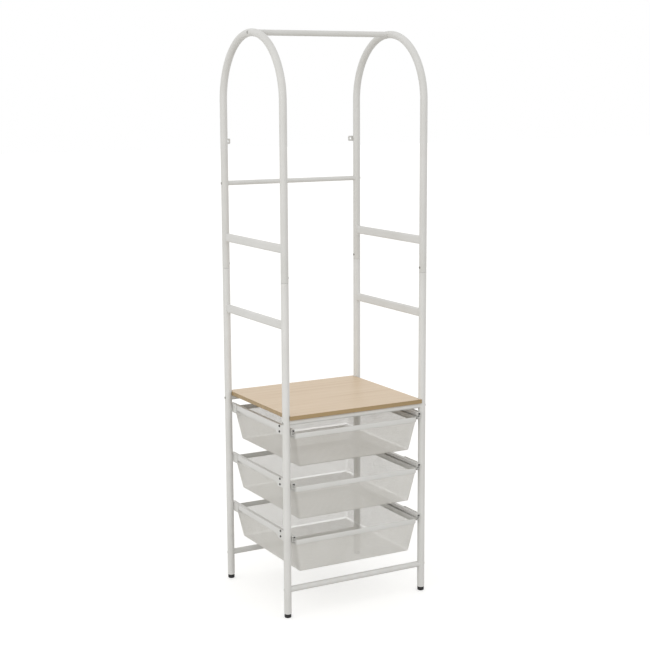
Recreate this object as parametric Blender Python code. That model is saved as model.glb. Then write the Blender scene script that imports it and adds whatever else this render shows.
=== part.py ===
"""A tall clothes rack in white steel tube.

Two side frames, each an arch plugged onto a pair of lower posts, carry a hanging rail, a rear rail, a shelf
board and three mesh drawers. The drawers hang by hooked lips in channel runners and pull out to the front.

Units are metres and +Z is up. The origin is on the floor, in the middle of the footprint. +X is to the
right of someone who faces the rack, and the drawers open towards -Y.
"""

import math

import bmesh
import bpy
from mathutils import Matrix

# Side frames
OVERALL_HEIGHT = 1.700
POST_SPACING_X = 0.462  # left to right, between centre lines
POST_SPACING_Y = 0.390  # front to rear, which is also the width of the arches
POST_DIA = 0.022
POST_WALL = 0.0012
JOINT_HEIGHT = 0.990  # the seam where an arch meets its lower posts
JOINT_SEAM = 0.0006
SPIGOT_LENGTH = 0.120
SPIGOT_WALL = 0.0015
LOCK_SCREW_ABOVE_JOINT = 0.014
LOCK_SCREW_DIA = 0.004
LOCK_SCREW_HEAD_DIA = 0.007
LOCK_SCREW_HEAD_HEIGHT = 0.002
LOCK_SCREW_TAIL = 0.002  # past the inside of the spigot
UPPER_RUNG_ABOVE_JOINT = 0.095
LOWER_RUNG_BELOW_JOINT = 0.123
RUNG_HEIGHT = 0.025
RUNG_THICKNESS = 0.012
RUNG_CORNER = 0.005
RUNG_WALL = 0.0012
FOOT_HEIGHT = 0.012
FOOT_DIA = 0.0205
FOOT_STEM_LENGTH = 0.020
FOOT_ROUNDING = 0.003

# Rails from side to side
HANGING_RAIL_DIA = 0.017
REAR_RAIL_DIA = 0.014
REAR_RAIL_BELOW_SPRING = 0.245
SHELF_RAIL_DIA = 0.016
BASE_RAIL_DIA = 0.018
BASE_RAIL_HEIGHT = 0.085
RAIL_WALL = 0.0012

# Shelf board, notched round the posts
SHELF_THICKNESS = 0.012
SHELF_END_INSET = 0.007  # from the posts' centre lines in to the ends of the board
SHELF_PROUD = 0.001  # front and rear edges, past the faces of the posts
SHELF_NOTCH_CLEARANCE = 0.001
SHELF_EDGE_ROUNDING = 0.0006

# Lugs that tie the rear posts to a wall
LUG_BELOW_SPRING = 0.120
LUG_REACH = 0.014  # past the inner face of the post
LUG_HEIGHT = 0.016
LUG_CORNER = 0.0035
LUG_THICKNESS = 0.002
LUG_HOLE_DIA = 0.0066

# Drawers
DRAWERS = ("bottom", "middle", "top")
BASE_RAIL_TO_DRAWER = 0.037  # from the base rails up to the lowest drawer
DRAWER_SPACING = 0.055  # from the rim of a drawer up to the floor of the next
TOP_DRAWER_HEADROOM = 0.024  # from the top drawer's rim up to the shelf rails
BASKET_DEPTH = 0.104
BASKET_SIDE_TAPER = 0.016
BASKET_END_TAPER = 0.012
BASKET_WALL = 0.0008
BASKET_BEND = 0.006
BASKET_TUCK = 0.001  # the mesh's edge, below the top of the rim
MESH_COLUMNS = 6  # openings from left to right: a coarse grid that stands for the fine mesh
MESH_ROWS = 5  # openings from front to rear
MESH_BAR = 0.008  # between two openings
MESH_BORDER = 0.006  # left whole beside the rim and the bends
RIM_BAND = 0.015
RIM_STRIP = 0.002
RIM_CORNER = 0.010
RIM_PROUD = 0.012  # front and rear faces, past the posts' centre lines
LIP_THICKNESS = 0.002

# Runners and the brackets that hold them
RUNNER_HEIGHT = 0.016
RUNNER_WIDTH = 0.0107
RUNNER_SHEET = 0.0012
RUNNER_SLOT = 0.004  # open height over the drawer's lip, under the channel's returned edge
RUNNER_OVERHANG = 0.012  # past the posts' centre lines
RUNNER_SIDE_CLEARANCE = 0.001
RUNNER_TOP_CLEARANCE = 0.0012
BRACKET_HEIGHT = 0.0285
BRACKET_ABOVE_RUNNER = 0.002
BRACKET_FRONT_LENGTH = 0.075
BRACKET_REAR_LENGTH = 0.030
BRACKET_SHEET = 0.0016
BRACKET_CORNER = 0.004

# Fits
SEAT_GAP = 0.0003  # between pieces that touch
SCREW_HOLE_CLEARANCE = 0.0003  # all round the shank

# Facets of round pieces
TUBE_SIDES = 20
RAIL_SIDES = 16
ARCH_STEPS = 18
CORNER_STEPS = 4
BEND_STEPS = 3
LUG_STEPS = 7
SCREW_SIDES = 12
NOTCH_SIDES = 32
SHARP_ANGLE = math.radians(40)
MERGE_DISTANCE = 0.00001

# Places that follow from the sizes
HALF_X = POST_SPACING_X / 2
HALF_Y = POST_SPACING_Y / 2
POST_RADIUS = POST_DIA / 2
BORE_RADIUS = POST_RADIUS - POST_WALL
SEAT_RADIUS = POST_RADIUS + SEAT_GAP  # where a coped end meets a post
INNER_FACE_X = HALF_X - POST_RADIUS
APEX_HEIGHT = OVERALL_HEIGHT - POST_RADIUS
SPRING_HEIGHT = APEX_HEIGHT - HALF_Y  # where the arches start to bend
SPIGOT_RADIUS = BORE_RADIUS - SEAT_GAP
DRAWER_PITCH = BASKET_DEPTH + DRAWER_SPACING
FIRST_RIM_HEIGHT = BASE_RAIL_HEIGHT + BASE_RAIL_DIA / 2 + BASE_RAIL_TO_DRAWER + BASKET_DEPTH
RIM_HEIGHTS = [FIRST_RIM_HEIGHT + number * DRAWER_PITCH for number in range(len(DRAWERS))]
SHELF_RAIL_HEIGHT = RIM_HEIGHTS[-1] + TOP_DRAWER_HEADROOM + SHELF_RAIL_DIA / 2
SHELF_UNDERSIDE = SHELF_RAIL_HEIGHT + SHELF_RAIL_DIA / 2 + SEAT_GAP
RUNNER_FACE_X = INNER_FACE_X - SEAT_GAP
RIM_HALF_X = RUNNER_FACE_X - RUNNER_WIDTH - RUNNER_SIDE_CLEARANCE
RIM_HALF_Y = HALF_Y + RIM_PROUD
BASKET_HALF_X = RIM_HALF_X - RIM_STRIP - SEAT_GAP
BASKET_HALF_Y = RIM_HALF_Y - RIM_STRIP - SEAT_GAP
RUNNER_BELOW_RIM = LIP_THICKNESS + SEAT_GAP + RUNNER_SHEET

SIDES = {"left": -1, "right": 1}
ENDS = {"front": -1, "rear": 1}
QUARTERS = ((1, 1), (-1, 1), (-1, -1), (1, -1))  # signs of a rectangle's corners, anticlockwise


def clear_scene():
    """Removes what the file holds before the rack is built."""
    for old in list(bpy.data.objects):
        bpy.data.objects.remove(old, do_unlink=True)


def finish(name, colour, roughness, metallic=0.0):
    """A Principled material."""
    material = bpy.data.materials.new(name)
    material.use_nodes = True
    shader = material.node_tree.nodes["Principled BSDF"]
    shader.inputs["Base Color"].default_value = (*colour, 1.0)
    shader.inputs["Roughness"].default_value = roughness
    shader.inputs["Metallic"].default_value = metallic
    return material


def circle(radius, sides):
    """The outline of a round section."""
    turns = [2 * math.pi * step / sides for step in range(sides)]
    return [(radius * math.cos(turn), radius * math.sin(turn)) for turn in turns]


def rounded_box(half_width, half_height, corner):
    """The outline of a rectangle with round corners."""
    outline = []
    for quarter, (sign_x, sign_y) in enumerate(QUARTERS):
        for step in range(CORNER_STEPS + 1):
            turn = (quarter + step / CORNER_STEPS) * math.pi / 2
            x = sign_x * (half_width - corner) + corner * math.cos(turn)
            y = sign_y * (half_height - corner) + corner * math.sin(turn)
            outline.append((x, y))
    return outline


def edge_loop(bm, outline, z=0.0):
    """A closed chain of edges along an outline."""
    verts = [bm.verts.new((x, y, z)) for x, y in outline]
    return [bm.edges.new(pair) for pair in zip(verts, verts[1:] + verts[:1])]


def region(faces):
    """Faces with their edges and corners, so that pulling them leaves no wall inside the piece."""
    edges = {edge for face in faces for edge in face.edges}
    verts = {vert for face in faces for vert in face.verts}
    return [*faces, *edges, *verts]


def extrude(bm, faces, offset):
    """Pulls faces along and returns the far end."""
    pulled = bmesh.ops.extrude_face_region(bm, geom=region(faces))["geom"]
    verts = [part for part in pulled if isinstance(part, bmesh.types.BMVert)]
    bmesh.ops.translate(bm, verts=verts, vec=offset)
    return [part for part in pulled if isinstance(part, bmesh.types.BMFace)]


def hollow_section(bm, outer, inner, z=0.0):
    """The flat ring of faces between two outlines: the end of a tube."""
    edges = edge_loop(bm, outer, z) + edge_loop(bm, inner, z)
    return bmesh.ops.bridge_loops(bm, edges=edges)["faces"]


def tube(outer, inner, start, end):
    """A straight tube along Z."""
    bm = bmesh.new()
    extrude(bm, hollow_section(bm, outer, inner, start), (0, 0, end - start))
    return bm


def round_tube(radius, wall, sides, start, end):
    """A straight round tube along Z."""
    return tube(circle(radius, sides), circle(radius - wall, sides), start, end)


def cope(bm, half_span, side_offset):
    """Saddles both ends of a tube along Z to the posts that it runs between.

    side_offset gives how far a point lies to the side of the post's centre line.
    """
    for vert in bm.verts:
        reach = math.sqrt(SEAT_RADIUS**2 - side_offset(vert.co) ** 2)
        vert.co.z = math.copysign(half_span - reach, vert.co.z)


def plate(outline, thickness):
    """A flat plate, half its thickness to either side of Z = 0."""
    bm = bmesh.new()
    face = bmesh.ops.contextual_create(bm, geom=edge_loop(bm, outline, -thickness / 2))["faces"]
    extrude(bm, face, (0, 0, thickness))
    return bm


def turned(profile, sides):
    """A turned solid round Z. The profile's (radius, height) points start and end on the axis."""
    bm = bmesh.new()
    verts = [bm.verts.new((radius, 0, height)) for radius, height in profile]
    edges = [bm.edges.new(pair) for pair in zip(verts, verts[1:])]
    bmesh.ops.spin(
        bm,
        geom=verts + edges,
        cent=(0, 0, 0),
        axis=(0, 0, 1),
        angle=2 * math.pi,
        steps=sides,
        use_merge=True,
    )
    bmesh.ops.remove_doubles(bm, verts=bm.verts, dist=MERGE_DISTANCE)
    return bm


def loft(loops):
    """Skins outlines, each given with its height. Returns the skin with its first and last loop."""
    bm = bmesh.new()
    chains = [edge_loop(bm, outline, z) for outline, z in loops]
    for lower, upper in zip(chains, chains[1:]):
        bmesh.ops.bridge_loops(bm, edges=lower + upper)
    return bm, chains[0], chains[-1]


def plain_mesh(name, bm):
    """Turns a bmesh into a mesh."""
    mesh = bpy.data.meshes.new(name)
    bm.to_mesh(mesh)
    bm.free()
    return mesh


def to_mesh(name, bm, material):
    """Turns a finished bmesh into a mesh with outward faces and smooth round sides."""
    bmesh.ops.recalc_face_normals(bm, faces=bm.faces)
    mesh = plain_mesh(name, bm)
    mesh.shade_smooth()
    mesh.set_sharp_from_angle(angle=SHARP_ANGLE)
    mesh.materials.append(material)
    return mesh


def place(name, mesh, location=(0, 0, 0), rotation=(0, 0, 0), parent=None):
    """Puts a piece into the rack."""
    piece = bpy.data.objects.new(name, mesh)
    piece.location = location
    piece.rotation_euler = rotation
    piece.parent = parent
    bpy.context.scene.collection.objects.link(piece)
    return piece


def cutter(name, mesh, location=(0, 0, 0), rotation=(0, 0, 0), parent=None):
    """A shape that only cuts."""
    tool = place(name, mesh, location, rotation, parent)
    tool.hide_render = True
    tool.display_type = "WIRE"
    return tool


def drill(radius, sides, depth):
    """A cylinder to cut with."""
    bm = bmesh.new()
    bmesh.ops.create_cone(bm, cap_ends=True, segments=sides, radius1=radius, radius2=radius, depth=depth)
    return plain_mesh("drill", bm)


def punches(centres, size):
    """Blocks of one size to cut with, at these centres."""
    bm = bmesh.new()
    for centre in centres:
        matrix = Matrix.Translation(centre) @ Matrix.Diagonal((*size, 1))
        bmesh.ops.create_cube(bm, size=1, matrix=matrix)
    return plain_mesh("punches", bm)


def cut(piece, tool):
    """Subtracts a cutter from a piece."""
    step = piece.modifiers.new(tool.name, "BOOLEAN")
    step.operation = "DIFFERENCE"
    step.solver = "EXACT"
    step.object = tool


def corners():
    """The name and the place of each post."""
    for end, sign_y in ENDS.items():
        for side, sign_x in SIDES.items():
            yield f"{end}_{side}", sign_x * HALF_X, sign_y * HALF_Y


def build_arch(name, sign_x, material):
    """A post tube bent into an arch: up the front, over in a half circle, and down the rear."""
    bm = bmesh.new()
    foot = JOINT_HEIGHT + JOINT_SEAM / 2
    limb = SPRING_HEIGHT - foot
    end = hollow_section(bm, circle(POST_RADIUS, TUBE_SIDES), circle(BORE_RADIUS, TUBE_SIDES))
    bmesh.ops.translate(bm, verts=bm.verts, vec=(0, -HALF_Y, foot))
    end = extrude(bm, end, (0, 0, limb))
    bend = bmesh.ops.spin(
        bm,
        geom=region(end),
        cent=(0, 0, SPRING_HEIGHT),
        axis=(1, 0, 0),
        angle=-math.pi,
        steps=ARCH_STEPS,
    )
    end = [part for part in bend["geom_last"] if isinstance(part, bmesh.types.BMFace)]
    extrude(bm, end, (0, 0, -limb))
    return place(name, to_mesh(name, bm, material), (sign_x * HALF_X, 0, 0))


def build_posts(material, foot_material):
    """The four lower posts, with the plugged-in feet that they stand on."""
    post_top = JOINT_HEIGHT - JOINT_SEAM / 2
    bm = round_tube(POST_RADIUS, POST_WALL, TUBE_SIDES, FOOT_HEIGHT + SEAT_GAP, post_top)
    post_mesh = to_mesh("lower_post", bm, material)
    stem_radius = BORE_RADIUS - SEAT_GAP
    foot_radius = FOOT_DIA / 2
    rounding = [
        (foot_radius - FOOT_ROUNDING * (1 - math.sin(turn)), FOOT_ROUNDING * (1 - math.cos(turn)))
        for turn in (math.pi / 2 * step / BEND_STEPS for step in range(BEND_STEPS + 1))
    ]
    stem_top = FOOT_HEIGHT + FOOT_STEM_LENGTH
    shoulder = [(foot_radius, FOOT_HEIGHT), (stem_radius, FOOT_HEIGHT), (stem_radius, stem_top)]
    bm = turned([(0, 0), *rounding, *shoulder, (0, stem_top)], TUBE_SIDES)
    foot_mesh = to_mesh("foot", bm, foot_material)
    for corner, x, y in corners():
        place(f"post_{corner}", post_mesh, (x, y, 0))
        place(f"foot_{corner}", foot_mesh, (x, y, 0))


def build_joints(arches, material, screw_material):
    """The spigots inside the seams, and the screws that lock the arches to them."""
    half = SPIGOT_LENGTH / 2
    bm = round_tube(SPIGOT_RADIUS, SPIGOT_WALL, TUBE_SIDES, -half, half)
    spigot_mesh = to_mesh("spigot", bm, material)
    shank = LOCK_SCREW_DIA / 2
    head = LOCK_SCREW_HEAD_DIA / 2
    tail = -(SEAT_GAP + POST_RADIUS - SPIGOT_RADIUS + SPIGOT_WALL + LOCK_SCREW_TAIL)
    crown = LOCK_SCREW_HEAD_HEIGHT / 2
    profile = [
        (0, LOCK_SCREW_HEAD_HEIGHT),
        (head - crown, LOCK_SCREW_HEAD_HEIGHT),
        (head, crown),
        (head, 0),
        (shank, 0),
        (shank, tail),
        (0, tail),
    ]
    screw_mesh = to_mesh("lock_screw", turned(profile, SCREW_SIDES), screw_material)
    height = JOINT_HEIGHT + LOCK_SCREW_ABOVE_JOINT
    hole_mesh = drill(shank + SCREW_HOLE_CLEARANCE, SCREW_SIDES, POST_DIA)
    for corner, x, y in corners():
        side = corner.split("_")[1]
        inward = -SIDES[side]
        facing = (0, inward * math.pi / 2, 0)
        surface = (x + inward * POST_RADIUS, y, height)
        hole = cutter(f"lock_hole_{corner}", hole_mesh, surface, facing)
        cut(place(f"spigot_{corner}", spigot_mesh, (x, y, JOINT_HEIGHT)), hole)
        cut(arches[side], hole)
        place(f"lock_screw_{corner}", screw_mesh, (x + inward * SEAT_RADIUS, y, height), facing)


def build_rungs(material):
    """Flat oval tubes that tie the front and rear tubes of each side frame."""
    half_width = RUNG_THICKNESS / 2
    half_height = RUNG_HEIGHT / 2
    outer = rounded_box(half_width, half_height, RUNG_CORNER)
    inner = rounded_box(half_width - RUNG_WALL, half_height - RUNG_WALL, RUNG_CORNER - RUNG_WALL)
    bm = tube(outer, inner, -HALF_Y, HALF_Y)
    cope(bm, HALF_Y, lambda point: point.x)
    mesh = to_mesh("rung", bm, material)
    heights = {
        "upper": JOINT_HEIGHT + UPPER_RUNG_ABOVE_JOINT,
        "lower": JOINT_HEIGHT - LOWER_RUNG_BELOW_JOINT,
    }
    for level, height in heights.items():
        for side, sign_x in SIDES.items():
            place(f"rung_{level}_{side}", mesh, (sign_x * HALF_X, 0, height), (math.pi / 2, 0, 0))


def build_rail(name, diameter, y, z, material, side_offset):
    """A round rail from the left side frame to the right, with its ends coped to them."""
    bm = round_tube(diameter / 2, RAIL_WALL, RAIL_SIDES, -HALF_X, HALF_X)
    cope(bm, HALF_X, side_offset)
    place(name, to_mesh(name, bm, material), (0, y, z), (0, math.pi / 2, 0))


def build_rails(material):
    """The rails. The hanging rail meets the crowns of the arches, and the others meet upright posts."""

    def beside_post(point):
        return point.y

    def beside_arch(point):
        return math.hypot(point.y, HALF_Y - point.x) - HALF_Y

    build_rail("hanging_rail", HANGING_RAIL_DIA, 0, APEX_HEIGHT, material, beside_arch)
    rear_rail_height = SPRING_HEIGHT - REAR_RAIL_BELOW_SPRING
    build_rail("rear_rail", REAR_RAIL_DIA, HALF_Y, rear_rail_height, material, beside_post)
    for end, sign_y in ENDS.items():
        y = sign_y * HALF_Y
        build_rail(f"shelf_rail_{end}", SHELF_RAIL_DIA, y, SHELF_RAIL_HEIGHT, material, beside_post)
        build_rail(f"base_rail_{end}", BASE_RAIL_DIA, y, BASE_RAIL_HEIGHT, material, beside_post)


def build_shelf(material):
    """The board on the shelf rails, with a round notch for each post."""
    half_width = HALF_X - SHELF_END_INSET
    half_depth = HALF_Y + POST_RADIUS + SHELF_PROUD
    outline = [(sign_x * half_width, sign_y * half_depth) for sign_x, sign_y in QUARTERS]
    mesh = to_mesh("shelf_board", plate(outline, SHELF_THICKNESS), material)
    middle = SHELF_UNDERSIDE + SHELF_THICKNESS / 2
    board = place("shelf_board", mesh, (0, 0, middle))
    notch_mesh = drill(POST_RADIUS + SHELF_NOTCH_CLEARANCE, NOTCH_SIDES, 2 * SHELF_THICKNESS)
    for corner, x, y in corners():
        cut(board, cutter(f"shelf_notch_{corner}", notch_mesh, (x, y, middle)))
    edge = board.modifiers.new("edge_rounding", "BEVEL")
    edge.width = SHELF_EDGE_ROUNDING
    edge.segments = 1
    edge.limit_method = "ANGLE"
    edge.angle_limit = SHARP_ANGLE


def build_lugs(material):
    """Tabs with a hole, welded to the backs of the rear posts, for screws into a wall."""
    half_height = LUG_HEIGHT / 2
    rear = POST_RADIUS  # the lug's back is level with the back of the post
    root = math.sqrt(SEAT_RADIUS**2 - (rear - LUG_THICKNESS) ** 2)
    tip = POST_RADIUS + LUG_REACH
    eye = tip - half_height
    flat = half_height - LUG_CORNER
    outline = []
    for step in range(LUG_STEPS + 1):
        turn = math.pi * (step / LUG_STEPS - 0.5)
        y = math.copysign(flat, turn) + LUG_CORNER * math.sin(turn)
        outline.append((flat + LUG_CORNER * math.cos(turn), y))
    for step in range(LUG_STEPS + 1):
        outline.append((root - eye, half_height * (1 - 2 * step / LUG_STEPS)))
    hole = circle(LUG_HOLE_DIA / 2, len(outline))
    bm = tube(outline, hole, -LUG_THICKNESS / 2, LUG_THICKNESS / 2)
    mesh = to_mesh("wall_lug", bm, material)
    height = SPRING_HEIGHT - LUG_BELOW_SPRING
    y = HALF_Y + rear - LUG_THICKNESS / 2
    place("wall_lug_left", mesh, (-HALF_X + eye, y, height), (math.pi / 2, 0, 0))
    place("wall_lug_right", mesh, (HALF_X - eye, y, height), (math.pi / 2, 0, math.pi))


def build_runners(material):
    """Channels between the front and rear posts, one on each side of a drawer, and their brackets.

    The upper edge of a channel returns downwards and leaves a slot for the drawer's lip.
    """
    top = RUNNER_HEIGHT
    sheet = RUNNER_SHEET
    slot_top = RUNNER_BELOW_RIM + RUNNER_SLOT
    channel = [
        (0, 0),
        (RUNNER_WIDTH, 0),
        (RUNNER_WIDTH, sheet),
        (sheet, sheet),
        (sheet, top - sheet),
        (RUNNER_WIDTH - sheet, top - sheet),
        (RUNNER_WIDTH - sheet, slot_top),
        (RUNNER_WIDTH, slot_top),
        (RUNNER_WIDTH, top),
        (0, top),
    ]
    bm = plate(channel, 2 * (HALF_Y + RUNNER_OVERHANG))
    bmesh.ops.rotate(bm, verts=bm.verts, matrix=Matrix.Rotation(math.pi / 2, 3, "X"))
    runner_mesh = to_mesh("runner", bm, material)
    lengths = {"front": BRACKET_FRONT_LENGTH, "rear": BRACKET_REAR_LENGTH}
    bracket_meshes = {}
    for end, length in lengths.items():
        bm = plate(rounded_box(BRACKET_HEIGHT / 2, length / 2, BRACKET_CORNER), BRACKET_SHEET)
        bracket_meshes[end] = to_mesh(f"bracket_{end}", bm, material)
    weld = math.sqrt(SEAT_RADIUS**2 - (POST_RADIUS - BRACKET_SHEET) ** 2)
    for drawer, rim_height in zip(DRAWERS, RIM_HEIGHTS):
        bottom = rim_height - RUNNER_BELOW_RIM
        for side, sign_x in SIDES.items():
            turn = 0 if sign_x < 0 else math.pi
            corner = (sign_x * RUNNER_FACE_X, 0, bottom)
            place(f"runner_{drawer}_{side}", runner_mesh, corner, (0, 0, turn))
            for end, sign_y in ENDS.items():
                x = sign_x * (INNER_FACE_X + BRACKET_SHEET / 2)
                y = sign_y * (HALF_Y - weld - lengths[end] / 2)
                z = bottom + top + BRACKET_ABOVE_RUNNER - BRACKET_HEIGHT / 2
                name = f"bracket_{drawer}_{end}_{side}"
                place(name, bracket_meshes[end], (x, y, z), (0, math.pi / 2, 0))


def is_at(face, x, z):
    """Whether a face's centre lies at this x and z, halfway between front and rear."""
    centre = face.calc_center_median()
    return math.dist(centre, (x, 0, z)) < MERGE_DISTANCE


def build_rim(material):
    """A strip bent round the top of a basket, with a hooked lip along each side that hangs in a runner."""
    outer = rounded_box(RIM_HALF_X, RIM_HALF_Y, RIM_CORNER)
    inner = rounded_box(RIM_HALF_X - RIM_STRIP, RIM_HALF_Y - RIM_STRIP, RIM_CORNER - RIM_STRIP)
    outside = [(outer, -RIM_BAND), (outer, -LIP_THICKNESS), (outer, 0)]
    bm, first, last = loft([*outside, (inner, 0), (inner, -RIM_BAND)])
    bmesh.ops.bridge_loops(bm, edges=last + first)
    lip_end = RUNNER_FACE_X - RUNNER_SHEET - RUNNER_SIDE_CLEARANCE
    shelf = lip_end - LIP_THICKNESS - RIM_HALF_X
    hook = RUNNER_HEIGHT - RUNNER_BELOW_RIM - RUNNER_SHEET - RUNNER_TOP_CLEARANCE
    for sign_x in SIDES.values():
        side = [face for face in bm.faces if is_at(face, sign_x * RIM_HALF_X, -LIP_THICKNESS / 2)]
        far = extrude(bm, side, (sign_x * shelf, 0, 0))
        extrude(bm, far, (sign_x * LIP_THICKNESS, 0, 0))
        ledge = [face for face in bm.faces if is_at(face, sign_x * (lip_end - LIP_THICKNESS / 2), 0)]
        extrude(bm, ledge, (0, 0, hook))
    return to_mesh("drawer_rim", bm, material)


def build_basket(material):
    """The outer skin of a tapered basket, with a round bend into its floor.

    Its upper edge stands upright inside the rim. The openings of its mesh are cut once it has a thickness.
    """
    corner = RIM_CORNER - RIM_STRIP - SEAT_GAP
    mouth = rounded_box(BASKET_HALF_X, BASKET_HALF_Y, corner)
    loops = [(mouth, -BASKET_TUCK), (mouth, -RIM_BAND)]
    for step in range(BEND_STEPS + 1):
        turn = math.pi / 2 * step / BEND_STEPS
        inset = BASKET_BEND * (1 - math.cos(turn))
        half_width = BASKET_HALF_X - BASKET_SIDE_TAPER - inset
        half_depth = BASKET_HALF_Y - BASKET_END_TAPER - inset
        outline = rounded_box(half_width, half_depth, corner - inset)
        loops.append((outline, -BASKET_DEPTH + BASKET_BEND * (1 - math.sin(turn))))
    bm, _, floor = loft(loops)
    bmesh.ops.contextual_create(bm, geom=floor)
    return to_mesh("drawer_basket", bm, material)


def spread(half_span, count):
    """The middles of openings in a row, with a bar between each two, and the width of one."""
    pitch = (2 * half_span + MESH_BAR) / count
    middles = [(number + 0.5) * pitch - half_span - MESH_BAR / 2 for number in range(count)]
    return middles, pitch - MESH_BAR


def build_punches():
    """What cuts the grid of openings into a basket: through its floor, its ends and its sides."""
    margin = BASKET_BEND + MESH_BORDER
    columns, width = spread(BASKET_HALF_X - BASKET_SIDE_TAPER - margin, MESH_COLUMNS)
    rows, length = spread(BASKET_HALF_Y - BASKET_END_TAPER - margin, MESH_ROWS)
    top = -RIM_BAND - MESH_BORDER
    bottom = margin - BASKET_DEPTH
    middle = (top + bottom) / 2
    floor_cells = [(x, y, -BASKET_DEPTH) for x in columns for y in rows]
    return {
        "floor": punches(floor_cells, (width, length, 2 * BASKET_BEND)),
        "ends": punches([(x, 0, middle) for x in columns], (width, 2 * RIM_HALF_Y, top - bottom)),
        "sides": punches([(0, y, middle) for y in rows], (2 * RIM_HALF_X, length, top - bottom)),
    }


def build_drawers(rim_material, mesh_material):
    """The drawers, each carried by an empty on the line that it slides along."""
    rim_mesh = build_rim(rim_material)
    basket_mesh = build_basket(mesh_material)
    punch_meshes = build_punches()
    for drawer, rim_height in zip(DRAWERS, RIM_HEIGHTS):
        slide = place(f"drawer_slide_{drawer}", None, (0, 0, rim_height))
        place(f"drawer_rim_{drawer}", rim_mesh, parent=slide)
        basket = place(f"drawer_basket_{drawer}", basket_mesh, parent=slide)
        sheet = basket.modifiers.new("sheet", "SOLIDIFY")
        sheet.thickness = BASKET_WALL
        sheet.offset = -1
        sheet.use_even_offset = True
        for wall, punch_mesh in punch_meshes.items():
            cut(basket, cutter(f"mesh_{wall}_{drawer}", punch_mesh, parent=slide))


def main():
    clear_scene()
    white = finish("white_powder_coat", (0.70, 0.69, 0.66), 0.45)
    mesh_white = finish("white_coated_mesh", (0.66, 0.65, 0.62), 0.5)
    board = finish("oak_effect_board", (0.68, 0.53, 0.39), 0.5)
    black = finish("black_plastic", (0.012, 0.012, 0.012), 0.4)
    zinc = finish("zinc_plated_steel", (0.45, 0.45, 0.44), 0.35, 1.0)
    arches = {side: build_arch(f"arch_{side}", sign_x, white) for side, sign_x in SIDES.items()}
    build_posts(white, black)
    build_joints(arches, white, zinc)
    build_rungs(white)
    build_rails(white)
    build_shelf(board)
    build_lugs(white)
    build_runners(white)
    build_drawers(white, mesh_white)


main()
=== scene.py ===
# %% [markdown]
# # Dressing a clothes rack
# The solids of this rack come from a CAD model: arched tubes, rails, a shelf board and drawers that slide.
# Here they get their finishes and truly round tubes, and the pieces that are too fine for the solids: the
# wire mesh of the drawers, black sheets in their runners that paint shade, and the screws. Lengths are in
# metres, +Z is up, and the drawers open towards -Y.

# %% Load the rack
import math

import bmesh
import bpy
from mathutils import Matrix, Vector


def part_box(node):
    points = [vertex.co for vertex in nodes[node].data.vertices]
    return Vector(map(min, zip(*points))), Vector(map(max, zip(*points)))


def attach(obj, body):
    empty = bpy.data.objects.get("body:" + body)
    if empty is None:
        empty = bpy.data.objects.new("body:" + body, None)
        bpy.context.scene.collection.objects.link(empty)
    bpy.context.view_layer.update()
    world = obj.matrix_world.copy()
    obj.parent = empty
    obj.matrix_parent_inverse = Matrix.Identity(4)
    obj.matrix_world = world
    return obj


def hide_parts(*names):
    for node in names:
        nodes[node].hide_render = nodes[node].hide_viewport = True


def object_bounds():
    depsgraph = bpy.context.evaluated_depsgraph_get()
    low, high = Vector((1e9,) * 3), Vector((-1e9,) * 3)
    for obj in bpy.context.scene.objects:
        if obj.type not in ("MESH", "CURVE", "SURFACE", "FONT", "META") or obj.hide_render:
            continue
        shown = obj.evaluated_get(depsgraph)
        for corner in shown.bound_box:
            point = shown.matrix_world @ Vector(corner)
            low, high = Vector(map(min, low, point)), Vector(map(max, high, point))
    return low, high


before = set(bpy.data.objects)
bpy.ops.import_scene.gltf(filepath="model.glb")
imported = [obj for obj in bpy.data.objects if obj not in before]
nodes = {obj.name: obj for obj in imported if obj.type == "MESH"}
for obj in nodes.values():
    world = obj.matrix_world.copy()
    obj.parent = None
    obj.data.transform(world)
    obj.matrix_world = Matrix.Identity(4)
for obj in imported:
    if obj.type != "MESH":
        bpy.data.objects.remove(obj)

cad_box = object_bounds()
print("solids:", len(nodes))

# %% [markdown]
# ## Two small tools for materials
# Colours are easiest to pick as the hex values that a paint card or an image editor shows. Those are sRGB,
# and Blender's sockets want linear light, so one function converts them. A second one adds a node, sets it
# and links it. With these two, each material below reads like a recipe.

# %% Colour and node helpers
MM = 0.001


def linear(hex_colour):
    """An sRGB hex colour as linear RGBA: a straight line near black, and a power curve above it."""
    channels = [int(hex_colour[i : i + 2], 16) / 255 for i in (1, 3, 5)]
    return (*[c / 12.92 if c <= 0.04045 else ((c + 0.055) / 1.055) ** 2.4 for c in channels], 1.0)


def add(tree, kind, inputs=None, **settings):
    """Adds a shader node. An input is a value, or another node's output to link."""
    node = tree.nodes.new("ShaderNode" + kind)
    for name, value in settings.items():
        setattr(node, name, value)
    for socket, value in (inputs or {}).items():
        if isinstance(value, bpy.types.NodeSocket):
            tree.links.new(value, node.inputs[socket])
        else:
            node.inputs[socket].default_value = value
    return node


def new_material(name):
    """An empty material, ready for a recipe. Returns it with its tree and its output node."""
    material = bpy.data.materials.new(name)
    material.use_nodes = True
    tree = material.node_tree
    tree.nodes.clear()
    return material, tree, add(tree, "OutputMaterial")


def colour_band(ramp, stops):
    """Sets the stops of a colour ramp: position and hex colour."""
    elements = ramp.color_ramp.elements
    while len(elements) < len(stops):
        elements.new(1.0)
    for element, (position, hex_colour) in zip(elements, stops):
        element.position = position
        element.color = linear(hex_colour)


print("paint sample:", [round(c, 3) for c in linear("#DBDAD7")])

# %% [markdown]
# ## Powder coat
# The tubes are steel with a baked polyester powder coat. The powder melts into a satin skin with a faint
# orange peel, about 1.5 mm from dimple to dimple, and it settles a little unevenly, so the sheen drifts over
# a hand's width. A picture of paint would stretch round the bends, so both come from noise on Object
# coordinates, which runs evenly through any shape. The dimples are drawn 3 mm apart, because at their real
# size the render can't show them.

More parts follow.
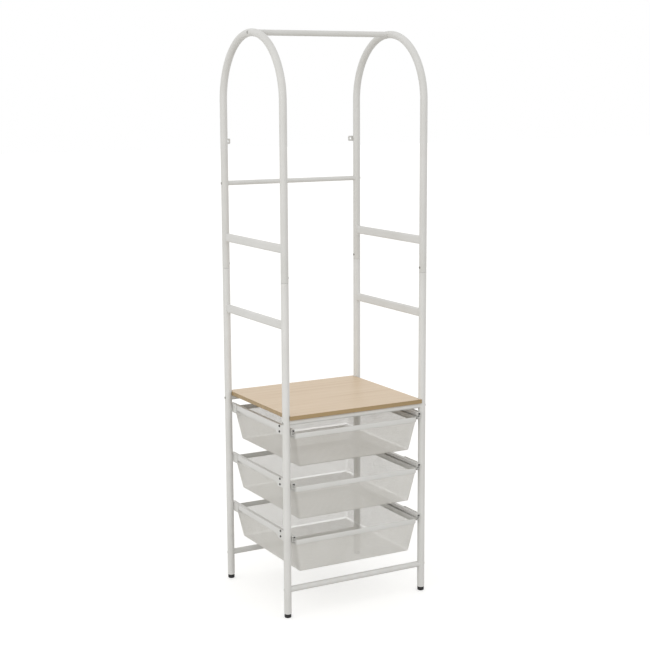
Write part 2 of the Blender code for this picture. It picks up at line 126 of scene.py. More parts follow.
# %% Powder coat material
POLYESTER_IOR = 1.5
PEEL_SPACING = 3 * MM
PEEL_DEPTH = 0.05 * MM
DRIFT_SPACING = 90 * MM
SHEEN_DRIFT = 0.05  # of the roughness, up and down


def powder_coat(name, pale, deep, roughness):
    """Off-white polyester powder on steel: satin, with orange peel and a slow drift of tone and sheen."""
    material, tree, output = new_material(name)
    place = add(tree, "TexCoord").outputs["Object"]
    drift = add(tree, "TexNoise", {"Vector": place, "Scale": 1 / DRIFT_SPACING, "Detail": 2.0})
    tone = add(tree, "ValToRGB", {"Fac": drift.outputs["Fac"]})
    colour_band(tone, ((0.3, deep), (0.7, pale)))
    sheen = add(
        tree,
        "MapRange",
        {
            "Value": drift.outputs["Fac"],
            "To Min": roughness - SHEEN_DRIFT,
            "To Max": roughness + SHEEN_DRIFT,
        },
    )
    peel = add(tree, "TexNoise", {"Vector": place, "Scale": 1 / PEEL_SPACING, "Detail": 1.0})
    bump = add(tree, "Bump", {"Height": peel.outputs["Fac"], "Strength": 0.12, "Distance": PEEL_DEPTH})
    shader = add(
        tree,
        "BsdfPrincipled",
        {
            "Base Color": tone.outputs["Color"],
            "Roughness": sheen.outputs["Result"],
            "Normal": bump.outputs["Normal"],
            "IOR": POLYESTER_IOR,
        },
    )
    tree.links.new(shader.outputs["BSDF"], output.inputs["Surface"])
    return material


tube_paint = powder_coat("polyester_powder_coat", "#DBDAD7", "#D5D4D0", 0.42)
# The wires' paint is a little paler and warmer than the tubes': painted light that makes up for the shade and
# the warm bounce inside the baskets.
lightened_wire_paint = powder_coat("powder_coat_on_wire_with_painted_light", "#E1DFDA", "#DBD9D3", 0.5)
print("made", tube_paint.name, "and", lightened_wire_paint.name)

# %% [markdown]
# ## Wood-effect board
# The shelf is particle board under a printed foil, with a darker band glued round its edge. The print copies
# pale oak: long streaks a few millimetres wide, and fine dark pores along them. Noise that is stretched along
# X gives both. The band could be a second material on the upright faces, but the solid's mesh stays as it
# is, so the surface normal chooses between foil and band.

# %% Wood-effect material
STREAK_SIZE = (420 * MM, 11 * MM, 30 * MM)
PORE_SIZE = (60 * MM, 2.2 * MM, 8 * MM)
PORE_DEPTH = 0.08 * MM
LEAST_RISE = 0.9  # of a normal that points up or down


def oak_foil():
    """Printed oak foil on particle board: matt, with streaks and pores on top and a darker edge band."""
    material, tree, output = new_material("oak_print_foil")
    place = add(tree, "TexCoord").outputs["Object"]
    along = add(tree, "Mapping", {"Vector": place, "Scale": [1 / length for length in STREAK_SIZE]})
    streaks = add(
        tree,
        "TexNoise",
        {"Vector": along.outputs["Vector"], "Scale": 1.0, "Detail": 4.0, "Distortion": 0.6},
    )
    print_tone = add(tree, "ValToRGB", {"Fac": streaks.outputs["Fac"]})
    colour_band(print_tone, ((0.28, "#D0B695"), (0.46, "#D7BFA0"), (0.72, "#DBC5A8")))
    fine = add(tree, "Mapping", {"Vector": place, "Scale": [1 / length for length in PORE_SIZE]})
    pores = add(tree, "TexNoise", {"Vector": fine.outputs["Vector"], "Scale": 1.0, "Detail": 2.0})
    pore_mask = add(
        tree,
        "MapRange",
        {"Value": pores.outputs["Fac"], "From Min": 0.58, "From Max": 0.72, "To Max": 0.2},
    )
    top = add(
        tree,
        "Mix",
        {"Factor": pore_mask.outputs["Result"], "A": print_tone.outputs["Color"], "B": linear("#B79C79")},
        data_type="RGBA",
    )
    band_tone = add(tree, "ValToRGB", {"Fac": streaks.outputs["Fac"]})
    colour_band(band_tone, ((0.3, "#99815B"), (0.7, "#AA9067")))
    normal = add(tree, "SeparateXYZ", {"Vector": add(tree, "NewGeometry").outputs["True Normal"]})
    rise = add(tree, "Math", {0: normal.outputs["Z"]}, operation="ABSOLUTE")
    is_flat = add(tree, "Math", {0: rise.outputs["Value"], 1: LEAST_RISE}, operation="GREATER_THAN")
    colour = add(
        tree,
        "Mix",
        {"Factor": is_flat.outputs["Value"], "A": band_tone.outputs["Color"], "B": top.outputs["Result"]},
        data_type="RGBA",
    )
    relief = add(tree, "Bump", {"Height": pores.outputs["Fac"], "Strength": 0.15, "Distance": PORE_DEPTH})
    shader = add(
        tree,
        "BsdfPrincipled",
        {"Base Color": colour.outputs["Result"], "Roughness": 0.4, "Normal": relief.outputs["Normal"]},
    )
    tree.links.new(shader.outputs["BSDF"], output.inputs["Surface"])
    return material


board_foil = oak_foil()
print("made", board_foil.name)

# %% [markdown]
# ## Moulded plastic
# The feet are moulded polyethylene, nearly black, with the fine grain of a sparked mould. The same black
# material darkens the sheets in the runners, where it is painted shade. A smooth black would look like
# lacquer, so one noise moves both the roughness and the bump.

# %% Plastic material
POLYETHYLENE_IOR = 1.51
GRAIN_SPACING = 1 * MM
GRAIN_DEPTH = 0.05 * MM


def moulded_plastic(name, hex_colour):
    """Moulded polyethylene: matt, with a 1 mm grain."""
    material, tree, output = new_material(name)
    place = add(tree, "TexCoord").outputs["Object"]
    grain = add(tree, "TexNoise", {"Vector": place, "Scale": 1 / GRAIN_SPACING, "Detail": 2.0})
    gloss = add(tree, "MapRange", {"Value": grain.outputs["Fac"], "To Min": 0.5, "To Max": 0.65})
    bump = add(tree, "Bump", {"Height": grain.outputs["Fac"], "Strength": 0.2, "Distance": GRAIN_DEPTH})
    shader = add(
        tree,
        "BsdfPrincipled",
        {
            "Base Color": linear(hex_colour),
            "Roughness": gloss.outputs["Result"],
            "Normal": bump.outputs["Normal"],
            "IOR": POLYETHYLENE_IOR,
        },
    )
    tree.links.new(shader.outputs["BSDF"], output.inputs["Surface"])
    return material


# Black for the feet, and painted shade in the runners' sheets.
black_plastic_and_shade = moulded_plastic("black_polyethylene_and_painted_shade", "#080808")
print("made", black_plastic_and_shade.name)

# %% [markdown]
# ## Zinc plating
# Screws and spigots are zinc plated steel. A bath after the plating seals the zinc and sets its tone, so one
# recipe makes three: black on the screws of the runners, grey on the lock screws and clear elsewhere. A grey
# paint would look flat here. Plating stays a metal to the eye, with its colour in the reflection.

# %% Plating materials
CLOUD_SPACING = 3 * MM
PLATING_ROUGHNESS = 0.4


def zinc_plating(name, pale, deep):
    """Zinc plated steel: a metal, clouded over a few millimetres by its bath."""
    material, tree, output = new_material(name)
    place = add(tree, "TexCoord").outputs["Object"]
    cloud = add(tree, "TexNoise", {"Vector": place, "Scale": 1 / CLOUD_SPACING, "Detail": 2.0})
    tone = add(tree, "ValToRGB", {"Fac": cloud.outputs["Fac"]})
    colour_band(tone, ((0.35, deep), (0.65, pale)))
    shader = add(
        tree,
        "BsdfPrincipled",
        {"Base Color": tone.outputs["Color"], "Metallic": 1.0, "Roughness": PLATING_ROUGHNESS},
    )
    tree.links.new(shader.outputs["BSDF"], output.inputs["Surface"])
    return material


dark_zinc = zinc_plating("black_zinc_plating", "#3A3936", "#2A2927")
grey_zinc = zinc_plating("grey_zinc_plating", "#9C9A95", "#8A8883")
bright_zinc = zinc_plating("clear_zinc_plating", "#B9B8B4", "#A2A19D")
print("made", dark_zinc.name, grey_zinc.name, bright_zinc.name)

# %% [markdown]
# ## Finishes on the solids
# A solid whose shape is right only needs its finish, so its material slot gets a new material. Writing all 55
# down would be a long table. Their names start with the kind of piece, and that chooses the finish.

# %% Paint the solids
FINISHES = {
    "shelf_board": board_foil,
    "foot": black_plastic_and_shade,
    "lock_screw": grey_zinc,
    "spigot": bright_zinc,
}
for name, node in nodes.items():
    finish = next((material for kind, material in FINISHES.items() if name.startswith(kind)), tube_paint)
    for material_slot in node.material_slots:
        material_slot.material = finish
print("painted", len(nodes), "solids")

# %% [markdown]
# ## Round tubes
# The frame is cut from steel tube. The solids draw it with 16 or 20 flat sides, which shows as stripes in a
# close view. A subdivision modifier would round it but pull in its ends, so each tube is drawn again with 48
# sides, at the size that its solid measures. A straight one is a cone of equal ends. The arch is a disc that
# is extruded up the front, spun over the crown and extruded down the rear. Rails and rungs run a little way
# into the posts, which hide their ends.

# %% Helpers for pieces
TUBE_SIDES = 48
SHARP_ANGLE = math.radians(35)
SAME_HEIGHT = 0.01 * MM  # heights closer than this count as one


def only(kind, parts):
    """The vertices, edges or faces among mixed parts of a mesh."""
    return [part for part in parts if isinstance(part, kind)]


def pull(bm, faces, offset):
    """Extrudes faces along an offset and returns the far end. Edges go along, so no wall stays inside."""
    edges = {edge for face in faces for edge in face.edges}
    verts = {vert for face in faces for vert in face.verts}
    moved = bmesh.ops.extrude_face_region(bm, geom=[*faces, *edges, *verts])["geom"]
    bmesh.ops.translate(bm, verts=only(bmesh.types.BMVert, moved), vec=offset)
    return only(bmesh.types.BMFace, moved)


def level_edges(bm, height):
    """The edges that lie flat at a height."""
    return [edge for edge in bm.edges if all(abs(vert.co.z - height) < SAME_HEIGHT for vert in edge.verts)]


def ease(bm, edges, width, segments=2):
    """Rounds edges over."""
    bmesh.ops.bevel(
        bm,
        geom=edges,
        offset=width,
        offset_type="OFFSET",
        segments=segments,
        profile=0.5,
        affect="EDGES",
        material=-1,
    )


def make_object(name, bm, material):
    """Turns a finished bmesh into an object at the origin, with its place in its mesh."""
    mesh = bpy.data.meshes.new(name)
    bm.to_mesh(mesh)
    bm.free()
    mesh.materials.append(material)
    piece = bpy.data.objects.new(name, mesh)
    bpy.context.scene.collection.objects.link(piece)
    return piece


def add_piece(name, bm, material, body="frame", stands_for=None):
    """Makes a smooth piece that rides on a body, and may stand for a solid."""
    bmesh.ops.recalc_face_normals(bm, faces=bm.faces)
    piece = make_object(name, bm, material)
    piece.data.shade_smooth()
    piece.data.set_sharp_from_angle(angle=SHARP_ANGLE)
    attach(piece, body)
    if stands_for:
        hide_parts(stands_for)
    return piece


print("tubes get", TUBE_SIDES, "sides")

# %% Posts
ENDS = ("front", "rear")
SIDES = {"left": -1, "right": 1}
SEAM_EASE = 0.4 * MM  # the tube ends are deburred, which draws the seam


def round_bar(bottom, top, radius):
    """A round bar along Z between two heights."""
    bm = bmesh.new()
    bmesh.ops.create_cone(
        bm, cap_ends=True, segments=TUBE_SIDES, radius1=radius, radius2=radius, depth=top - bottom
    )
    bmesh.ops.translate(bm, verts=bm.verts, vec=(0, 0, (top + bottom) / 2))
    return bm


for end in ENDS:
    for side in SIDES:
        node = f"post_{end}_{side}"
        low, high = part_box(node)
        middle = (low + high) / 2
        bm = round_bar(low.z, high.z, (high.x - low.x) / 2)
        ease(bm, level_edges(bm, high.z), SEAM_EASE)
        bmesh.ops.translate(bm, verts=bm.verts, vec=(middle.x, middle.y, 0))
        add_piece(f"round_{node}", bm, tube_paint, stands_for=node)
print("posts:", len(ENDS) * len(SIDES))

# %% Arches
CROWN_STEPS = 64
for side in SIDES:
    node = f"arch_{side}"
    low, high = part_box(node)
    radius = (high.x - low.x) / 2
    half_depth = high.y - radius
    spring = high.z - radius - half_depth  # the height where the bend starts
    bm = bmesh.new()
    bmesh.ops.create_circle(bm, cap_ends=True, segments=TUBE_SIDES, radius=radius)
    bmesh.ops.translate(bm, verts=bm.verts, vec=((low.x + high.x) / 2, -half_depth, low.z))
    top = pull(bm, bm.faces[:], (0, 0, spring - low.z))
    crown = bmesh.ops.spin(
        bm,
        geom=[*top, *top[0].edges, *top[0].verts],
        cent=(0, 0, spring),
        axis=(1, 0, 0),
        angle=-math.pi,
        steps=CROWN_STEPS,
    )
    pull(bm, only(bmesh.types.BMFace, crown["geom_last"]), (0, 0, low.z - spring))
    ease(bm, level_edges(bm, low.z), SEAM_EASE)
    piece = add_piece(f"round_{node}", bm, tube_paint, stands_for=node)
    print(piece.name, len(piece.data.polygons), "faces")

# %% Rails
RAILS = (
    "hanging_rail",
    "rear_rail",
    "shelf_rail_front",
    "shelf_rail_rear",
    "base_rail_front",
    "base_rail_rear",
)
post_low, post_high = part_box("post_rear_right")
post_x, post_y = (post_low.x + post_high.x) / 2, (post_low.y + post_high.y) / 2
for rail in RAILS:
    low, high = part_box(rail)
    bm = round_bar(-post_x, post_x, (high.z - low.z) / 2)
    bmesh.ops.rotate(bm, verts=bm.verts, matrix=Matrix.Rotation(math.pi / 2, 3, "Y"))
    bmesh.ops.translate(bm, verts=bm.verts, vec=(0, (low.y + high.y) / 2, (low.z + high.z) / 2))
    add_piece(f"round_{rail}", bm, tube_paint, stands_for=rail)
print("rails:", len(RAILS))

# %% Rungs
RUNG_LEVELS = ("upper", "lower")
RUNG_CORNER = 5 * MM
CORNER_STEPS = 8


def rounded_plate(width, depth, corner):
    """A flat face in the XY plane with round corners."""
    bm = bmesh.new()
    bmesh.ops.create_grid(bm, x_segments=1, y_segments=1, size=0.5)
    bmesh.ops.scale(bm, verts=bm.verts, vec=(width, depth, 1))
    bmesh.ops.bevel(
        bm,
        geom=bm.verts[:],
        offset=corner,
        offset_type="OFFSET",
        segments=CORNER_STEPS,
        profile=0.5,
        affect="VERTICES",
        material=-1,
    )
    return bm


for level in RUNG_LEVELS:
    for side in SIDES:
        node = f"rung_{level}_{side}"
        low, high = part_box(node)
        bm = rounded_plate(high.x - low.x, high.z - low.z, RUNG_CORNER)
        pull(bm, bm.faces[:], (0, 0, 2 * post_y))
        bmesh.ops.rotate(bm, verts=bm.verts, matrix=Matrix.Rotation(math.pi / 2, 3, "X"))
        bmesh.ops.translate(bm, verts=bm.verts, vec=((low.x + high.x) / 2, post_y, (low.z + high.z) / 2))
        add_piece(f"round_{node}", bm, tube_paint, stands_for=node)
print("rungs:", len(RUNG_LEVELS) * len(SIDES))

# %% [markdown]
# ## Feet
# Each post stands on a moulded plug. Its rim at the floor is rounded so that it slides over a carpet, and its
# upper rim is eased where it meets the cut end of the tube. A spun profile could make it, but a short bar
# with two bevelled rims needs fewer numbers. Only the part below the post shows, so the stem is left out.

# %% Feet
FOOT_ROUNDING = 3 * MM
FOOT_ROUNDING_STEPS = 6
FOOT_TOP_EASE = 0.6 * MM
for end in ENDS:
    for side in SIDES:
        node = f"foot_{end}_{side}"
        low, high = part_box(node)
        middle = (low + high) / 2
        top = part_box(f"post_{end}_{side}")[0].z
        bm = round_bar(low.z, top, (high.x - low.x) / 2)
        ease(bm, level_edges(bm, low.z), FOOT_ROUNDING, FOOT_ROUNDING_STEPS)
        ease(bm, level_edges(bm, top), FOOT_TOP_EASE)
        bmesh.ops.translate(bm, verts=bm.verts, vec=(middle.x, middle.y, 0))
        add_piece(f"round_{node}", bm, black_plastic_and_shade, stands_for=node)
print("feet:", len(ENDS) * len(SIDES))

# %% [markdown]
# ## Rims of the drawers
# A steel strip on edge is bent round the top of each basket and welded into a ring. Along both sides a flat
# lip is folded out and then up, and hooks into the runner. A curve with a flat profile could follow the ring,
# but the lips would still need a mesh. So the ring is a rounded plate with its middle inset and taken out,
# extruded by the height of the strip. The lips start as a grid of two strips, and only the outer one is
# pulled up. The sharp edges are then eased, as rolled strip has none.

# %% Rims
DRAWERS = ("top", "middle", "bottom")
RIM_BAND = 15 * MM
RIM_STRIP = 2 * MM
RIM_CORNER = 10 * MM
RIM_PROUD = 12 * MM  # past the middle of the posts
LIP = 2 * MM
RUNNER_GAP = 1 * MM  # between a rim and the runner beside it
STRIP_EASE = 0.5 * MM
LEAST_FOLD = math.radians(60)


def sharp_edges(bm):
    """The edges where two faces meet at about a right angle."""
    inner_edges = [edge for edge in bm.edges if len(edge.link_faces) == 2]
    return [edge for edge in inner_edges if edge.calc_face_angle() > LEAST_FOLD]


for drawer in DRAWERS:
    node = f"drawer_rim_{drawer}"
    low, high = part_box(node)
    rim_top = low.z + RIM_BAND
    half_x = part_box(f"runner_{drawer}_right")[0].x - RUNNER_GAP
    half_y = post_y + RIM_PROUD
    bm = rounded_plate(2 * half_x, 2 * half_y, RIM_CORNER)
    inside = bm.faces[:]
    bmesh.ops.inset_region(bm, faces=inside, thickness=RIM_STRIP, use_boundary=True, use_even_offset=True)
    bmesh.ops.delete(bm, geom=inside, context="FACES")
    pull(bm, bm.faces[:], (0, 0, RIM_BAND))
    bmesh.ops.translate(bm, verts=bm.verts, vec=(0, 0, low.z))
    for sign in SIDES.values():
        grid = bmesh.ops.create_grid(bm, x_segments=2, y_segments=1, size=0.5)["verts"]
        bends = {-0.5: half_x - RIM_STRIP / 2, 0: high.x - LIP, 0.5: high.x}
        for vert in grid:
            x = sign * bends[round(vert.co.x, 1)]
            vert.co = (x, 2 * vert.co.y * (half_y - RIM_CORNER), rim_top - LIP)
        strips = list({face for vert in grid for face in vert.link_faces})
        tops = pull(bm, strips, (0, 0, LIP))
        hook = max(tops, key=lambda face: abs(face.calc_center_median().x))
        pull(bm, [hook], (0, 0, high.z - rim_top))
    bmesh.ops.recalc_face_normals(bm, faces=bm.faces)
    ease(bm, sharp_edges(bm), STRIP_EASE)
    piece = add_piece(f"bent_rim_{drawer}", bm, tube_paint, f"drawer_{drawer}", node)
    print(piece.name, len(piece.data.polygons), "faces")

# %% [markdown]
# ## Painted shade in the runners
# The open ends of the runners look dark in the photograph, most of all at their top. That dark is painted
# shade: a thin black sheet under the top of each channel, folded a little way down on both sides, darkens
# the inside. A solidified sheet could be folded the same way, but only its ends show, so three plates inside
# each channel are enough. The drawer's hook keeps its clearance.

# %% Black sheets that paint shade
CHANNEL_SHEET = 1.2 * MM
SHADE_SHEET = 0.5 * MM
SHADE_SHEET_GAP = 0.3 * MM  # keeps the lining off the steel
SHADE_SHEET_SETBACK = 1 * MM  # from each end of the channel
SHADE_SHEET_LEG = 5 * MM
for drawer in DRAWERS:
    for side, sign in SIDES.items():
        low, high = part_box(f"runner_{drawer}_{side}")
        outer, inner = (high.x, low.x) if sign > 0 else (low.x, high.x)
        back = outer - sign * (CHANNEL_SHEET + SHADE_SHEET_GAP)
        front = inner + sign * (CHANNEL_SHEET + SHADE_SHEET_GAP)
        roof = high.z - CHANNEL_SHEET - SHADE_SHEET_GAP
        length = high.y - low.y - 2 * SHADE_SHEET_SETBACK
        plates = (
            (back, back - sign * SHADE_SHEET, roof - SHADE_SHEET_LEG, roof),
            (back, front, roof - SHADE_SHEET, roof),
            (front, front + sign * SHADE_SHEET, roof - SHADE_SHEET_LEG, roof),
        )
        bm = bmesh.new()
        for x1, x2, bottom, top in plates:
            plate = bmesh.ops.create_cube(bm, size=1)["verts"]
            centre = ((x1 + x2) / 2, (low.y + high.y) / 2, (bottom + top) / 2)
            bmesh.ops.scale(bm, verts=plate, vec=(abs(x2 - x1), length, top - bottom))
            bmesh.ops.translate(bm, verts=plate, vec=centre)
        # Three black plates: painted shade in the open ends of the channel.
        add_piece(f"painted_shade_sheet_{drawer}_{side}", bm, black_plastic_and_shade)
print("linings:", len(DRAWERS) * len(SIDES))

# %% [markdown]
# ## Wire mesh drawers
# Each basket is folded from fine steel mesh that was rolled flat: wires 0.75 mm wide and 0.2 mm thick, 2.2 mm
# apart. From across a room it looks like a veil, and what lies behind it shows through. A picture of holes
# would look flat from the side, so every wire is real here. One set runs down a side, over the floor and up
# the other side. A second set runs from front to rear. Rings run round the walls, and a few wires turn down
# each round corner. A curve with a round bevel could draw them too, but round wires shade each other, and the
# mesh turns grey. So each wire is a chain of edges that is extruded sideways, and a Solidify modifier gives
# them all their thickness.

# %% The basket's form
BASKET_TUCK = 1 * MM  # the solid basket ends this far below the top of the rim
MESH_WELD = 3 * MM  # the mesh is welded to the lowest part of the rim's band
SIDE_TAPER = 16 * MM
END_TAPER = 12 * MM
BEND = 6 * MM
CORNER = 7.7 * MM
BEND_STEPS = 3
basket_low, basket_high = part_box("drawer_basket_top")
HALF_X, HALF_Y = basket_high.x, basket_high.y
DEPTH = basket_high.z - basket_low.z + BASKET_TUCK
MESH_TOP = RIM_BAND - MESH_WELD
LEVELS = [(0, 0, MESH_TOP, 0), (0, 0, RIM_BAND, 0)]  # share of the taper, inset, depth and turn of the skin
for step in range(BEND_STEPS + 1):
    turn = math.pi / 2 * step / BEND_STEPS
    LEVELS.append((1, BEND * (1 - math.cos(turn)), DEPTH - BEND * (1 - math.sin(turn)), turn))
print("basket", [round(2 * HALF_X, 3), round(2 * HALF_Y, 3), round(DEPTH, 3)])

# %% Flat wires
WIRE_WIDTH = 0.75 * MM
WIRE_THICKNESS = 0.2 * MM
WIRE_PITCH = 2.2 * MM
OUTER, INNER = WIRE_THICKNESS / 2, 1.5 * WIRE_THICKNESS  # the two layers of wires lie one on the other


def shares(length):
    """Even steps from -1 to 1, one wire pitch apart."""
    count = round(length / WIRE_PITCH)
    return [2 * step / count - 1 for step in range(count + 1)]


def lay_wires(bm, paths, across, closed=False):
    """Flat wires along paths: chains of edges, extruded sideways by the width of a wire."""
    sideways = Vector(across) * WIRE_WIDTH
    chains = []
    for path in paths:
        verts = [bm.verts.new(Vector(point) - sideways / 2) for point in path]
        pairs = list(zip(verts, verts[1:])) + ([(verts[-1], verts[0])] if closed else [])
        chains += [bm.edges.new(pair) for pair in pairs]
    swept = bmesh.ops.extrude_edge_only(bm, edges=chains)["geom"]
    bmesh.ops.translate(bm, verts=only(bmesh.types.BMVert, swept), vec=sideways)
    return len(paths)


print("wires over the floor, from side to side:", len(shares(2 * (HALF_Y - END_TAPER / 2 - CORNER))))


# %% Wires over the floor and down the corners
def wall_point(level, share, layer):
    """A point on the right wall, at a share of the straight part, and its twin on the rear wall."""
    taper, inset, depth, turn = level
    z = -depth + layer * math.sin(turn)
    in_x = HALF_X - taper * SIDE_TAPER - inset - layer * math.cos(turn)
    in_y = HALF_Y - taper * END_TAPER - inset - layer * math.cos(turn)
    along_x = share * (HALF_X - taper * SIDE_TAPER - CORNER)
    along_y = share * (HALF_Y - taper * END_TAPER - CORNER)
    return (in_x, along_y, z), (along_x, in_y, z)


def lay_cross_wires(bm):
    """The two sets that go down one wall, over the floor and up the other."""
    sides, ends = [], []
    for share in shares(2 * (HALF_Y - END_TAPER / 2 - CORNER)):
        right = [wall_point(level, share, OUTER)[0] for level in LEVELS]
        sides.append([(-x, y, z) for x, y, z in right] + right[::-1])
    for share in shares(2 * (HALF_X - SIDE_TAPER / 2 - CORNER)):
        rear = [wall_point(level, share, INNER)[1] for level in LEVELS]
        ends.append([(x, -y, z) for x, y, z in rear] + rear[::-1])
    return lay_wires(bm, sides, (0, 1, 0)) + lay_wires(bm, ends, (1, 0, 0))


CORNER_WIRES = round(math.pi / 2 * CORNER / WIRE_PITCH)  # spaces between wires round a corner


def lay_corner_wires(bm):
    """Wires that fan down the round corners."""
    laid = 0
    for sign_x in (-1, 1):
        for sign_y in (-1, 1):
            for step in range(1, CORNER_WIRES):
                around = math.pi / 2 * step / CORNER_WIRES
                wire = []
                for taper, inset, depth, turn in LEVELS:
                    radius = CORNER - inset - OUTER * math.cos(turn)
                    x = HALF_X - taper * SIDE_TAPER - CORNER + radius * math.cos(around)
                    y = HALF_Y - taper * END_TAPER - CORNER + radius * math.sin(around)
                    wire.append((sign_x * x, sign_y * y, -depth + OUTER * math.sin(turn)))
                laid += lay_wires(bm, [wire], (-sign_x * math.sin(around), sign_y * math.cos(around), 0))
    return laid


print("wires down a corner:", CORNER_WIRES - 1)


# %% Rings round the walls
def rounded_box(half_x, half_y, corner, z):
    """Points round a rectangle with round corners."""
    points = []
    for quarter, (sign_x, sign_y) in enumerate(((1, 1), (-1, 1), (-1, -1), (1, -1))):
        for step in range(BEND_STEPS + 1):
            turn = math.pi / 2 * (quarter + step / BEND_STEPS)
            x = sign_x * (half_x - corner) + corner * math.cos(turn)
            points.append((x, sign_y * (half_y - corner) + corner * math.sin(turn), z))
    return points


RINGS = int((DEPTH - BEND - MESH_TOP) / WIRE_PITCH) + 1


def lay_rings(bm):
    """Rings round the walls, inside the side wires and outside the others."""
    rings = []
    for step in range(RINGS):
        depth = MESH_TOP + WIRE_WIDTH + step * WIRE_PITCH
        share = max(0, (depth - RIM_BAND) / (DEPTH - BEND - RIM_BAND))
        half_x = HALF_X - share * SIDE_TAPER - INNER
        half_y = HALF_Y - share * END_TAPER - OUTER
        rings.append(rounded_box(half_x, half_y, CORNER - WIRE_THICKNESS, -depth))
    return lay_wires(bm, rings, (0, 0, 1), closed=True)


print("rings round a basket:", RINGS)


# %% The three baskets
def top_of_rim(drawer):
    """The height of the upper edge of a drawer's rim."""
    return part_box(f"drawer_basket_{drawer}")[1].z + BASKET_TUCK


for drawer in DRAWERS:
    bm = bmesh.new()
    wires = lay_cross_wires(bm) + lay_corner_wires(bm) + lay_rings(bm)
    bmesh.ops.translate(bm, verts=bm.verts, vec=(0, 0, top_of_rim(drawer)))
    bmesh.ops.recalc_face_normals(bm, faces=bm.faces)
    # The paler, warmer wire paint is painted light for the shade inside the basket.
    piece = make_object(f"wire_mesh_{drawer}", bm, lightened_wire_paint)
    thickness = piece.modifiers.new("wire_thickness", "SOLIDIFY")
    thickness.thickness = WIRE_THICKNESS
    thickness.offset = 0
    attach(piece, f"drawer_{drawer}")
    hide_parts(f"drawer_basket_{drawer}")
    print(piece.name, wires, "wires,", len(piece.data.polygons), "faces")

# %% [markdown]
# ## Screws
# Button-head screws with a hex socket hold the rails: each one goes through the tube from outside into the
# end of a rail. Those of the base rails are painted over. Smaller ones hold the runners to their brackets and
# lock the seams. Half a ball would give the head too, but with a pole where the socket goes. So a head is a
# disc whose rim is rounded by a bevel. Its socket starts as an inset of the top, is pushed into a hexagon,
# and is then extruded down. A short skirt under the head follows it into the tube, so that no gap shows where
# the tube curves away.

# %% Screw heads
HEAD_SIDES = 24
HEAD_ROUNDING = 0.75  # share of the head's height
HEAD_ROUNDING_STEPS = 4
SOCKET_FLAT = 0.28  # from the middle of the socket to its flats, as a share of the head's diameter
SOCKET_DEPTH = 0.6  # share of the head's height


def screw(name, seat, facing, head_dia, head_height, skirt, material, slot, stands_for=None):
    """A button head with a hex socket, seated at a point and facing outwards along a direction."""
    bm = bmesh.new()
    bmesh.ops.create_circle(bm, cap_ends=True, segments=HEAD_SIDES, radius=head_dia / 2)
    bmesh.ops.translate(bm, verts=bm.verts, vec=(0, 0, -skirt))
    top = pull(bm, bm.faces[:], (0, 0, skirt + head_height))
    ease(bm, list(top[0].edges), head_height * HEAD_ROUNDING, HEAD_ROUNDING_STEPS)
    crown = max(bm.faces, key=lambda face: face.calc_center_median().z)
    flat = head_dia * SOCKET_FLAT
    crown_radius = max(vert.co.xy.length for vert in crown.verts)
    bmesh.ops.inset_region(bm, faces=[crown], thickness=crown_radius - flat, depth=0)
    for vert in crown.verts:
        angle = math.atan2(vert.co.y, vert.co.x)
        from_flat = (angle + math.pi / 6) % (math.pi / 3) - math.pi / 6
        vert.co.xy = vert.co.xy.normalized() * (flat / math.cos(from_flat))
    pull(bm, [crown], (0, 0, -head_height * SOCKET_DEPTH))
    turn = Vector((0, 0, 1)).rotation_difference(Vector(facing)).to_matrix().to_4x4()
    bm.transform(Matrix.Translation(seat) @ turn)
    return add_piece(name, bm, material, stands_for=stands_for)


print("screw heads get", HEAD_SIDES, "sides")

# %% Screws at the ends of the rails
RAIL_SCREW_DIA = 8.5 * MM
RAIL_SCREW_HEIGHT = 1 * MM
RAIL_SCREW_SKIRT = 1 * MM
outer_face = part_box("post_front_right")[1].x
for rail in RAILS:
    low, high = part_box(rail)
    middle = (low + high) / 2
    painted_over = rail.startswith("base")
    finish = (tube_paint, "white_powder_coat") if painted_over else (bright_zinc, "bare_steel")
    for side, sign in SIDES.items():
        screw(
            f"screw_{rail}_{side}",
            (sign * outer_face, middle.y, middle.z),
            (sign, 0, 0),
            RAIL_SCREW_DIA,
            RAIL_SCREW_HEIGHT,
            RAIL_SCREW_SKIRT,
            *finish,
        )
print("rail screws:", len(RAILS) * len(SIDES))

# %% Screws of the runners
RUNNER_SCREW_DIA = 6.5 * MM
RUNNER_SCREW_HEIGHT = 2.2 * MM
RUNNER_SCREW_SKIRT = 0.2 * MM
SCREWS_FROM_RIM = (10 * MM, -6.5 * MM)  # above and below the top of the rim
SCREW_FROM_BRACKET_END = 21 * MM
for drawer in DRAWERS:
    for side, sign in SIDES.items():
        low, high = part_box(f"bracket_{drawer}_front_{side}")
        x = low.x if sign < 0 else high.x
        for number, height in enumerate(SCREWS_FROM_RIM, 1):
            screw(
                f"screw_runner_{drawer}_{side}_{number}",
                (x, high.y - SCREW_FROM_BRACKET_END, top_of_rim(drawer) + height),
                (sign, 0, 0),
                RUNNER_SCREW_DIA,
                RUNNER_SCREW_HEIGHT,
                RUNNER_SCREW_SKIRT,
                dark_zinc,
                "dark_zinc",
            )
print("runner screws:", len(DRAWERS) * len(SIDES) * len(SCREWS_FROM_RIM))

# %% Lock screws of the seams
LOCK_SCREW_HEIGHT = 1 * MM
LOCK_SCREW_SKIRT = 1 * MM
for end in ENDS:
    for side, sign in SIDES.items():
        node = f"lock_screw_{end}_{side}"
        low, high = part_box(node)
        middle = (low + high) / 2
        post_low, post_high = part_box(f"post_{end}_{side}")
        inner_face = post_high.x if sign < 0 else post_low.x
        screw(
            f"button_{node}",
            (inner_face, middle.y, middle.z),
            (-sign, 0, 0),
            high.z - low.z,
            LOCK_SCREW_HEIGHT,
            LOCK_SCREW_SKIRT,
            grey_zinc,
            "dark_zinc",
            stands_for=node,
        )
print("lock screws:", len(ENDS) * len(SIDES))

